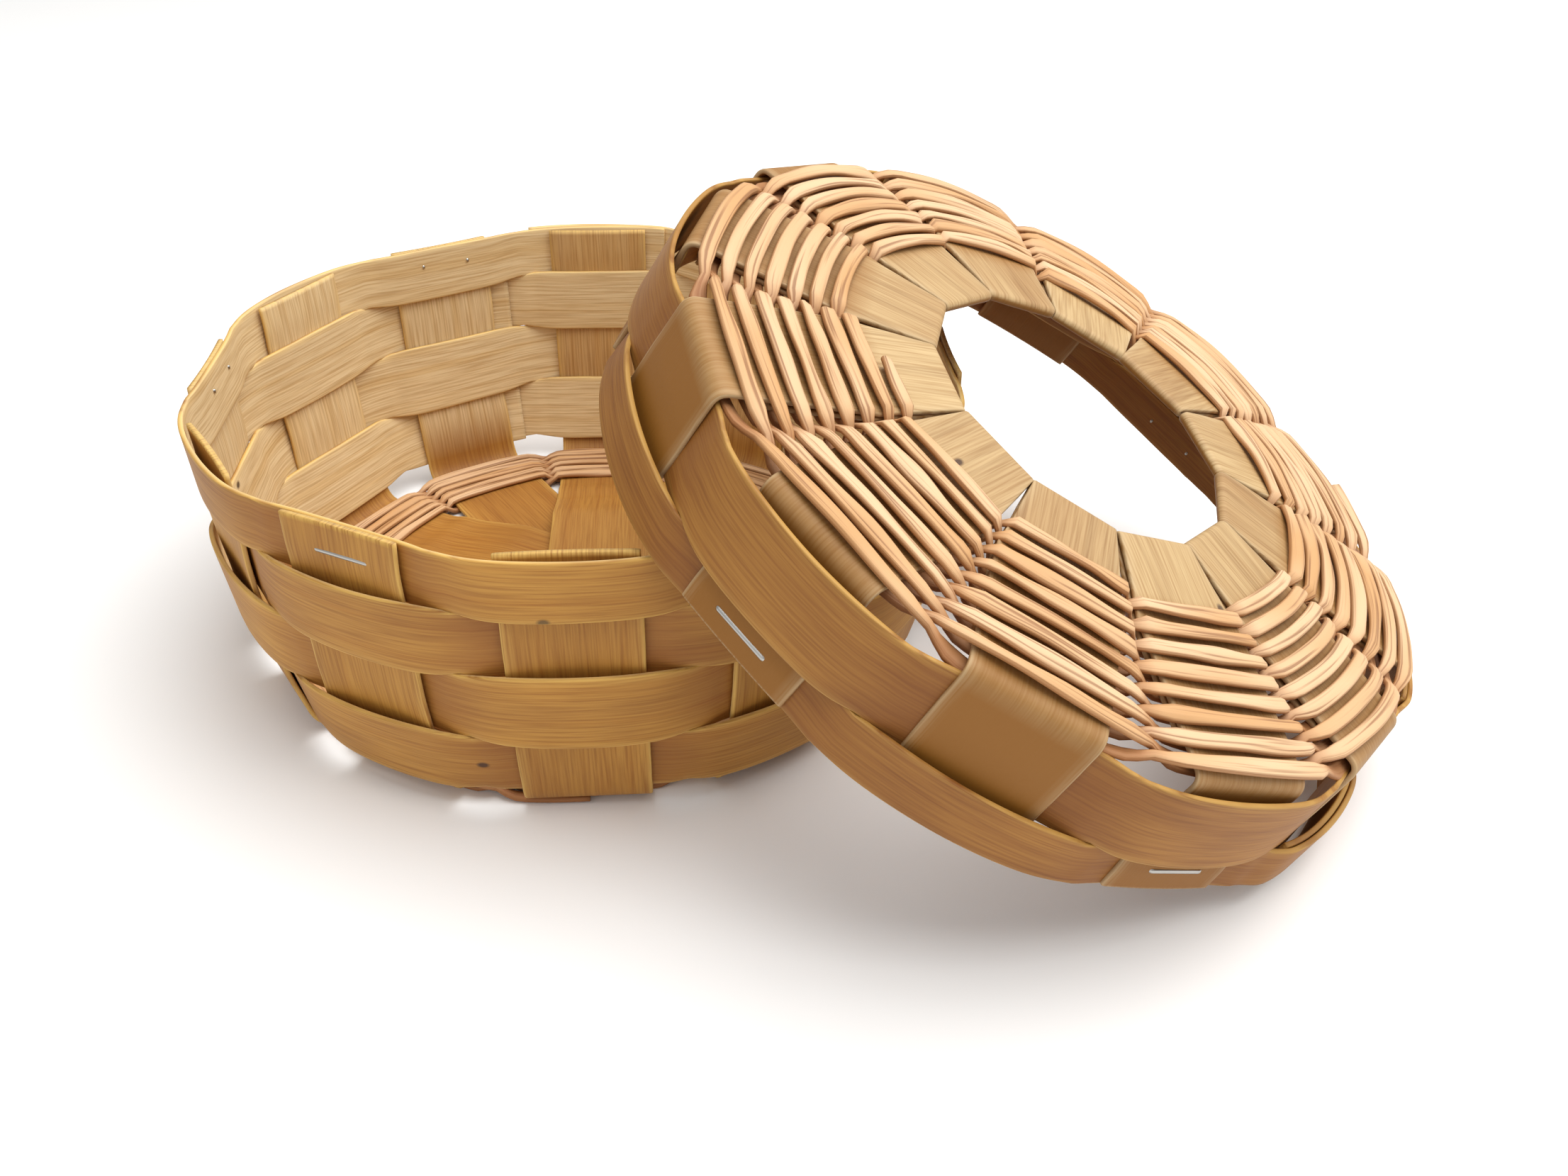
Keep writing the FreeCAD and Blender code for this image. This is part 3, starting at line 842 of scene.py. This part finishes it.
def node_points(frame: dict, node: str) -> np.ndarray:
    """All corner points of a CAD node.

    Args:
        frame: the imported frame.
        node: the node's name.

    Returns:
        Points, shape (n, 3), in metres.
    """
    mesh = frame["nodes"][node].data
    points = np.empty(len(mesh.vertices) * 3, dtype=np.float32)
    mesh.vertices.foreach_get("co", points)
    return points.reshape(-1, 3).astype(float)


def dress(piece: bpy.types.Object, node: str, body: str) -> None:
    """Lets a piece stand for its CAD node and ride its body.

    Args:
        piece: the finished piece.
        node: the CAD node that it hides.
        body: the body that it moves with.
    """
    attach(piece, body)
    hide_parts(node)
    LOG.info("%s stands for %s on %s, %d faces", piece.name, node, body, len(piece.data.polygons))


# ---------------------------------------------------------------- the basket
@dataclass
class Basket:
    """The basket: six strips across the floor and up the wall, bands and reeds."""

    frame: dict
    body: str = "basket"
    insets: list[float] = field(default_factory=lambda: [5.2 * MM, 2.2 * MM, 0.8 * MM, 0.2 * MM, 0.0])
    floor_edge_inset: float = 9.2 * MM
    band_names: tuple = ("wall_band_lower", "wall_band_middle", "wall_band_upper", "rim_band")
    heap_step: float = 1.2 * MM
    reed_width: float = 2.3 * MM
    reed_waist: float = 1.25 * MM
    reed_height: float = 1.5 * MM
    reed_turns: float = 5.0
    strip_tones: tuple = (-0.02, -0.1, 0.05, -0.1, 0.1, 0.0)
    # how pale each strip's inside face is: partly the wood's own, partly painted light that differs from
    # strip to strip
    strip_inner: tuple = (0.3, 0.75, 0.8, 0.8, 0.5, 0.4)
    band_tones: tuple = (0.0, 0.08, -0.04, 0.0)
    heap_margin: float = 1.0 * MM
    heap_stagger: float = 5.0 * MM
    heap_fall: float = 15.0 * MM
    step_fall: float = 5.0 * MM
    bow: float = 0.28 * MM
    end_stray: float = 0.5 * MM
    reed_offset: float = 8.4 * MM       # past where the strips part
    reed_past: float = 1.0 * MM         # past the floor's edge
    # painted shade on the strips' floor part
    floor_shade: float = 0.12
    wall_fade: float = 12.0 * MM

    def __post_init__(self) -> None:
        """Reads the basket's real places from the frame."""
        strip = node_points(self.frame, "base_strip_1")
        flat = strip[:, :2] - strip[:, :2].mean(axis=0)
        _, _, axes = np.linalg.svd(flat[::7], full_matrices=False)
        direction = axes[0] if axes[0][1] < 0 else -axes[0]
        self.first_angle = math.atan2(direction[1], direction[0])
        self.rim_radius = float(np.abs(strip[:, :2] @ direction).max()) - RIM_PROUD
        self.mouth = float(strip[:, 2].max())
        lows = [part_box(name)[0][2] for name in self.band_names]
        highs = [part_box(name)[1][2] for name in self.band_names]
        joins = [(high + low) / 2.0 for high, low in zip(highs[:-1], lows[1:])]
        half_gap = (lows[1] - highs[0]) / 2.0
        self.levels = [lows[0] - half_gap] + joins + [self.mouth]
        self.wall = Tapered(self.levels, [self.rim_radius - inset for inset in self.insets])
        self.floor_edge = self.rim_radius - self.floor_edge_inset
        self.floor_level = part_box("floor_reed_1")[1][2] / 2.0

    def strip_half(self, level: int, parity: int, rng: np.random.Generator) -> list:
        """Corners of half a strip: heap at the middle, floor, bend, and the woven wall.

        Args:
            level: its place in the heap of six, lowest 0.
            parity: +1 for an even stake, -1 for an odd one.
            rng: for how proud each end stands.

        Returns:
            Corners from the floor's middle to the mouth.
        """
        upper = level % 2
        heap = level // 2 + (3 if upper else 0)
        part = SPLINT_WIDTH / 2.0 / math.tan(STEP / 2.0)
        inner = SPLINT_WIDTH / 2.0 / math.tan(STEP) + self.heap_margin + self.heap_stagger * upper
        z = self.floor_level
        corners = [[0.0, z + heap * self.heap_step], [inner, z + heap * self.heap_step],
                   [inner + self.heap_fall, z + upper * self.heap_step]]
        if upper:
            corners += [[part + self.heap_margin, z + self.heap_step], [part + self.step_fall, z]]
        corners.append([self.floor_edge, z])
        corners += quarter_bend((self.floor_edge, z), (float(self.wall.radius(np.array(z))), z),
                                (self.wall.radii[0], self.levels[0]))
        for course, (low, high) in enumerate(zip(self.levels[:-1], self.levels[1:])):
            outside = 1 if course % 2 == 0 else -1
            middle = (low + high) / 2.0
            bow = self.bow * outside * parity
            corners.append([float(self.wall.radius(np.array(middle))) + bow, middle])
            top = high
            if high == self.mouth:
                top += rng.uniform(-self.end_stray, self.end_stray)
            corners.append([float(self.wall.radius(np.array(high))), top])
        return corners

    def build_strips(self, finish: bpy.types.Material) -> None:
        """Makes the six base strips.

        Args:
            finish: their finish.
        """
        for number in range(STAKES // 2):
            rng = np.random.default_rng(SEED + 100 + number)
            parity = 1 if number % 2 == 0 else -1
            level = (number + STAKES // 2 - 1) % (STAKES // 2)
            right = np.array(self.strip_half(level, parity, rng))
            left = np.array(self.strip_half(level, parity, rng)) * [-1.0, 1.0]
            path = smooth_path(np.concatenate([left[:0:-1], right]), 1.0 * MM, 2.2 * MM)
            up = np.clip((path[:, 1] - self.levels[0]) / self.wall_fade, 0.0, 1.0)
            width = np.full(len(path), SPLINT_WIDTH)
            # the wall's inside face is paler, partly by painted light
            pale = self.strip_inner[number] * up[:, None] * (1.0 - INNER_MARK)[None, :]
            # the floor part of each strip is painted in shade
            marks = {"tone": self.strip_tones[number], "inner": pale,
                     "painted_shade": self.floor_shade * (1.0 - up[:, None])}
            piece = strip_object("stake_strip_%d" % (number + 1), path, width,
                                 self.first_angle + number * STEP, CUP * up, finish, 10 + number, marks)
            dress(piece, "base_strip_%d" % (number + 1), self.body)

    def build_bands(self, finish: bpy.types.Material) -> None:
        """Makes the three wall bands and the rim band, edge to edge.

        Args:
            finish: their finish.
        """
        edges = list(zip(self.levels[:-1], self.levels[1:]))
        for course, (name, (low, high)) in enumerate(zip(self.band_names, edges)):
            side = -1 if course % 2 == 0 else 1
            lap = 7 if side < 0 else 6
            band = WovenBand("woven_" + name, self.wall, low + BAND_GAP, high - BAND_GAP, side,
                             self.first_angle, 40 + course, lap, tone=self.band_tones[course],
                             lap_above=0.0 if high == self.mouth else WovenBand.lap_above)
            dress(band.build(finish), name, self.body)

    def build_reeds(self, finish: bpy.types.Material) -> None:
        """Makes the two reeds that chase each other round the floor.

        Args:
            finish: their finish.
        """
        start = SPLINT_WIDTH / 2.0 / math.tan(STEP / 2.0) + self.reed_offset
        pitch = (self.floor_edge + self.reed_past - start) / (self.reed_turns + 0.5)
        wave = self.floor_level - self.reed_height * REED_SOLE
        for number in range(2):
            reed = SpiralReed("floor_weaver_%d" % (number + 1), self.first_angle, number == 0,
                              start + pitch * number / 2.0, pitch, self.reed_turns,
                              lambda r: np.full_like(r, SPLINT_WIDTH / 2.0),
                              lambda r: np.full_like(r, self.floor_level), wave,
                              self.reed_width, self.reed_waist, self.reed_height, 60 + number, hump=0.0)
            dress(reed.build(finish), "floor_reed_%d" % (number + 1), self.body)

    def build_staples(self, finish: bpy.types.Material) -> None:
        """Makes the six staples at the mouth.

        Args:
            finish: the wire's finish.
        """
        low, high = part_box("rim_staples")
        z = float(low[2] + high[2]) / 2.0
        angles = self.first_angle + STEP + np.arange(STAKES // 2) * 2.0 * STEP
        radius = float(self.wall.radius(np.array(z))) + SPLINT_THICKNESS / 2.0 + 0.12 * MM
        piece = Staple().ring("mouth_staples", angles, radius, z, 0.0, finish, 80)
        dress(piece, "rim_staples", self.body)


# ---------------------------------------------------------------- the lid
@dataclass
class Lid:
    """The ring lid: twelve folded strips, reeds, a skirt band and a rim band."""

    frame: dict
    body: str = "lid"
    top_inset: float = 3.0 * MM
    middle_inset: float = 1.4 * MM
    shoulder_inset: float = 2.6 * MM
    top_drop: float = 5.0 * MM
    fold_step: float = 1.35 * MM
    under_inset: float = 4.5 * MM
    hole_gap: float = 0.25 * MM
    wedge_gap: float = 2.4 * MM
    reed_start: float = 46.8 * MM
    reed_width: float = 2.95 * MM
    reed_waist: float = 1.8 * MM
    reed_height: float = 1.6 * MM
    reed_turns: float = 7.5
    reed_past: float = 0.8 * MM         # past the skirt's top
    reed_lift: float = 0.2 * MM
    bow: float = 0.25 * MM
    # painted shade: under the reeds, on the skirt below the shoulder, and over the hidden under layer
    reed_shade: float = 0.62
    skirt_shade: float = 0.4
    under_shade: float = 0.9
    # the first strip's tone, far above the others, is painted light on that lit facet; the rest differ at
    # random
    strip_tones: tuple = (0.55, 0.0, -0.05, 0.05, 0.2, -0.1, 0.1, 0.0, 0.15, -0.05, 0.05, 0.0)

    def __post_init__(self) -> None:
        """Reads the lid's place and sizes from the frame."""
        mount = next(m for m in self.frame["record"]["mounts"] if m["name"] == "lid_hole")
        up = np.array(mount["axis"]) / np.linalg.norm(mount["axis"])
        downhill = np.array([up[0], up[1], 0.0])
        downhill = downhill / np.linalg.norm(downhill)
        u = downhill - up * (downhill @ up)
        u /= np.linalg.norm(u)
        self.turn = np.stack([u, np.cross(up, u), up], axis=1)
        self.middle = np.array(mount["pos_m"])
        strip = (node_points(self.frame, "lid_strip_1") - self.middle) @ self.turn
        centre = strip[:, :2].mean(axis=0)
        direction = centre / np.linalg.norm(centre)
        self.first_angle = math.atan2(direction[1], direction[0])
        out = strip[:, :2] @ direction
        self.rim_radius = float(out.max()) - RIM_PROUD
        self.hole_radius = float(out.min()) + RIM_PROUD + self.fold_step / 2.0
        self.bottom = float(strip[:, 2].min())
        band = (node_points(self.frame, "lid_band") - self.middle) @ self.turn
        rim = (node_points(self.frame, "lid_rim_band") - self.middle) @ self.turn
        half_gap = (band[:, 2].min() - rim[:, 2].max()) / 2.0
        self.skirt_top = float(band[:, 2].max() + half_gap)
        self.skirt_middle = float(band[:, 2].min() - half_gap)
        insets = (0.0, self.middle_inset, self.top_inset)
        self.skirt = Tapered([self.bottom, self.skirt_middle, self.skirt_top],
                             [self.rim_radius - inset for inset in insets])
        self.shoulder = self.skirt.radii[2] - self.shoulder_inset
        self.outline = self.strip_path(np.random.default_rng(SEED), 1)

    def place(self, points: np.ndarray) -> np.ndarray:
        """Takes points from the lid's own frame to the row frame."""
        return points @ self.turn.T + self.middle

    def top_at(self, radius: float) -> float:
        """Height of the top layer's middle: a cone that falls to the shoulder."""
        return -self.top_drop * (radius - self.hole_radius) / (self.shoulder - self.hole_radius)

    def strip_path(self, rng: np.random.Generator, parity: int) -> np.ndarray:
        """A strip from its hidden end, round the fold, over the top and down the skirt.

        Args:
            rng: for how far each fold and end strays.
            parity: +1 for a strip inside the skirt band, -1 for one outside it.

        Returns:
            A smooth path in the strip's own plane.
        """
        hole = self.hole_radius + rng.uniform(-0.35, 0.35) * MM
        under_end = self.shoulder - self.under_inset + rng.uniform(-3.0, 0.5) * MM
        step = self.fold_step
        corners = [[under_end, self.top_at(under_end) - step], [hole, -step]]
        turn = np.linspace(0.0, math.pi, 7)[1:-1]
        fold = np.stack([hole - step / 2 * np.sin(turn), -step / 2 - step / 2 * np.cos(turn)], axis=1)
        corners += fold.tolist()
        corners += [[hole, 0.0], [self.shoulder, self.top_at(self.shoulder)]]
        corners += quarter_bend((self.shoulder, -self.top_drop),
                                (float(self.skirt.radius(np.array(-self.top_drop))), -self.top_drop),
                                (self.skirt.radii[2], self.skirt_top))
        edges = (self.skirt_top, self.skirt_middle, self.bottom)
        for course, (high, low) in enumerate(zip(edges[:-1], edges[1:])):
            outside = 1 if course == 0 else -1
            middle = (low + high) / 2.0
            bow = self.bow * outside * parity
            corners.append([float(self.skirt.radius(np.array(middle))) - bow, middle])
            end = low + (rng.uniform(-0.3, 0.6) * MM if course else 0.0)
            corners.append([float(self.skirt.radius(np.array(low))), end])
        return smooth_path(np.array(corners), 0.35 * MM, 0.55 * MM)

    def half_width(self, radius: np.ndarray) -> np.ndarray:
        """Half a strip's width: its neighbours' facets less the wedge between them."""
        gap = np.interp(radius, [self.hole_radius, self.reed_start], [self.hole_gap, self.wedge_gap])
        return np.minimum(radius * math.tan(STEP / 2.0) - gap / 2.0, SPLINT_WIDTH / 2.0)

    def marks(self, path: np.ndarray, number: int) -> dict[str, Any]:
        """A strip's tone and its painted shade: under the reeds, below the shoulder, on the hidden under
        layer and on the inner face.

        Args:
            path: the strip's path.
            number: which strip, from 0.

        Returns:
            Its marks, as strip_object takes them.
        """
        lengths = path_lengths(path)
        over = lengths > lengths[np.argmin(path[:, 0])]
        under_reeds = np.clip((path[:, 0] - self.reed_start + 1.0 * MM) / (5.0 * MM), 0.0, 1.0)
        skirt = np.clip((self.skirt_top + 1.0 * MM - path[:, 1]) / (3.0 * MM), 0.0, 1.0)
        # painted shade under the reeds and on the skirt; the under layer all in painted shade
        painted_shade = np.where(over, self.reed_shade * under_reeds + self.skirt_shade * skirt, self.under_shade)
        # the top layer's inner face in painted shade, as inside the lid
        inside = 0.95 * INNER_MARK * over[:, None]
        return {"tone": self.strip_tones[number], "painted_shade": np.maximum(painted_shade[:, None], inside)}

    def build_strips(self, finish: bpy.types.Material) -> None:
        """Makes the twelve folded strips.

        Args:
            finish: their finish.
        """
        for number in range(STAKES):
            rng = np.random.default_rng(SEED + 200 + number)
            parity = 1 if number % 2 == 1 else -1
            path = self.strip_path(rng, parity)
            width = 2.0 * self.half_width(path[:, 0])
            down = np.clip((self.skirt_top - path[:, 1]) / (8.0 * MM), 0.0, 1.0)
            piece = strip_object("folded_strip_%d" % (number + 1), path, width,
                                 self.first_angle + number * STEP + rng.normal(0.0, math.radians(0.3)),
                                 CUP * down, finish, 120 + number, self.marks(path, number), self.place)
            dress(piece, "lid_strip_%d" % (number + 1), self.body)

    def level(self, radius: np.ndarray) -> np.ndarray:
        """Height of the doubled strips' middle at a radius, over the shoulder too.

        Args:
            radius: the distance from the lid's axis.

        Returns:
            The height in the lid's own frame.
        """
        keep = self.outline[len(self.outline) // 3:]
        keep = keep[keep[:, 1] > self.skirt_top]
        order = np.argsort(keep[:, 0])
        return np.interp(radius, keep[order, 0], keep[order, 1]) - self.fold_step / 2.0

    def build_reeds(self, finish: bpy.types.Material) -> None:
        """Makes the two reeds that chase each other round the top.

        Args:
            finish: their finish.
        """
        last = self.skirt.radii[2] + self.reed_past
        pitch = (last - self.reed_width / 2.0 - self.reed_start) / (self.reed_turns + 0.5)
        wave = SPLINT_THICKNESS + self.reed_lift + self.reed_height * REED_SOLE
        for number in range(2):
            reed = SpiralReed("lid_weaver_%d" % (number + 1), self.first_angle, number == 0,
                              self.reed_start + pitch * number / 2.0, pitch, self.reed_turns,
                              self.half_width, self.level, wave,
                              self.reed_width, self.reed_waist, self.reed_height, 160 + number)
            dress(reed.build(finish, self.place), "lid_reed_%d" % (number + 1), self.body)

    def build_bands(self, finish: bpy.types.Material) -> None:
        """Makes the skirt band and the rim band.

        Args:
            finish: their finish.
        """
        top = self.skirt_top - 0.5 * MM
        band = WovenBand("woven_lid_band", self.skirt, self.skirt_middle + BAND_GAP, top, -1,
                         self.first_angle, 170, 5, tone=-0.06, inner=0.0, lap_above=0.5 * MM)
        dress(band.build(finish, self.place), "lid_band", self.body)
        rim = WovenBand("woven_lid_rim", self.skirt, self.bottom, self.skirt_middle - BAND_GAP, 1,
                        self.first_angle, 171, 4, tone=-0.1, inner=0.0, lap_below=0.0)
        dress(rim.build(finish, self.place), "lid_rim_band", self.body)

    def build_staples(self, finish: bpy.types.Material) -> None:
        """Makes the six staples of the lid's rim.

        Args:
            finish: the wire's finish.
        """
        z = (self.bottom + self.skirt_middle) / 2.0
        angles = self.first_angle + STEP + np.arange(STAKES // 2) * 2.0 * STEP
        radius = float(self.skirt.radius(np.array(z))) + SPLINT_THICKNESS / 2.0 + 0.14 * MM
        lean = -math.atan2(self.middle_inset, self.skirt_middle - self.bottom)
        piece = Staple().ring("lid_rim_staples", angles, radius, z, lean, finish, 180, self.place)
        dress(piece, "lid_staples", self.body)


# ---------------------------------------------------------------- the studio
@dataclass
class Studio:
    """A pale floor, soft light from above and behind, and the camera."""

    floor_colour: str = "#f4f3f1"
    camera_place: tuple = (44.05 * MM, -274.23 * MM, 188.85 * MM)
    pitch: float = math.radians(33.95)
    roll: float = math.radians(1.35)
    lens: float = 31.7
    sensor: float = 36.0
    sky: float = 0.52
    reach: float = 4.0

    def build(self) -> None:
        """Makes the floor, the lights, the sky and the camera."""
        self.build_floor()
        self.build_light("key", (0.45, 0.05, 1.10), 1.4, 22.0)
        self.build_light("fill", (-0.5, -0.9, 0.75), 1.2, 1.9)
        world = bpy.data.worlds.new("soft_room")
        world.use_nodes = True
        back = world.node_tree.nodes["Background"]
        back.inputs["Color"].default_value = (1.0, 1.0, 1.0, 1.0)
        back.inputs["Strength"].default_value = self.sky
        bpy.context.scene.world = world
        bpy.context.scene.view_settings.view_transform = "Standard"
        self.build_camera()

    def build_floor(self) -> None:
        """A flat pale sheet under the basket, far past the view."""
        far = self.reach
        corners = [(-far, -far, 0.0), (far, -far, 0.0), (far, far, 0.0), (-far, far, 0.0)]
        mesh = bpy.data.meshes.new("studio_floor")
        mesh.from_pydata(corners, [], [(0, 1, 2, 3)])
        material, shader = new_material("matt_paper_floor", 0.9)
        shader.inputs["Base Color"].default_value = linear(self.floor_colour)
        mesh.materials.append(material)
        show("studio_floor", mesh)

    def build_light(self, name: str, place: tuple, size: float, power: float) -> None:
        """One square soft light that faces the basket.

        Args:
            name: its name.
            place: where it hangs, in metres.
            size: its side.
            power: its strength in watts.
        """
        data = bpy.data.lights.new(name, "AREA")
        data.size = size
        data.energy = power
        lamp = bpy.data.objects.new(name, data)
        away = np.array(place) / np.linalg.norm(place)
        side = np.cross([0.0, 0.0, 1.0], away)
        side /= np.linalg.norm(side)
        turn = Matrix(np.stack([side, np.cross(away, side), away], axis=1).tolist()).to_4x4()
        lamp.matrix_world = Matrix.Translation(place) @ turn
        bpy.context.scene.collection.objects.link(lamp)

    def build_camera(self) -> None:
        """The camera: above and in front, tipped down, with a slight roll."""
        forward = np.array([0.0, math.cos(self.pitch), -math.sin(self.pitch)])
        right = np.array([1.0, 0.0, 0.0])
        up = np.cross(right, forward)
        c, s = math.cos(self.roll), math.sin(self.roll)
        right, up = c * right + s * up, -s * right + c * up
        data = bpy.data.cameras.new("camera")
        data.lens = self.lens
        data.sensor_width = self.sensor
        camera = bpy.data.objects.new("camera", data)
        turn = Matrix(np.stack([right, up, -forward], axis=1).tolist()).to_4x4()
        camera.matrix_world = Matrix.Translation(self.camera_place) @ turn
        bpy.context.scene.collection.objects.link(camera)
        bpy.context.scene.camera = camera


def main() -> None:
    """Builds the basket, the lid and the studio round the frame."""
    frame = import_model()
    # in each splint finish the last colour is that of the painted shade
    basket_splint = SplintFinish("split_poplar_basket", "#c48f3d", "#a36f2b", "#e6cc8e",
                                 "#f0d9ab", "#e0b964", "#8a4f1c").build()
    lid_splint = SplintFinish("split_poplar_lid", "#c4a778", "#ad895a", "#c0ae95",
                              "#b8702e", "#c4ab83", "#8c5a16", Grain.FLAT).build()
    lid_band_splint = SplintFinish("split_poplar_lid_band", "#b07b32", "#935f23", "#cfb178",
                                   "#b8702e", "#c9a053", "#7a4412").build()
    # the reed's last two colours are painted shade: its sides and underside, and where it dips
    reed = ReedFinish("split_rattan_reed", "#dcb68c", "#c89864", "#7d4d26", "#a06a38", "#965c2c").build()
    wire = WireFinish().build()

    basket = Basket(frame)
    basket.build_strips(basket_splint)
    basket.build_bands(basket_splint)
    basket.build_reeds(reed)
    basket.build_staples(wire)

    lid = Lid(frame)
    lid.build_strips(lid_splint)
    lid.build_bands(lid_band_splint)
    lid.build_reeds(reed)
    lid.build_staples(wire)

    Studio().build()
    bpy.context.view_layer.update()


if __name__ == "__main__":
    logging.basicConfig(level=logging.INFO)
    main()
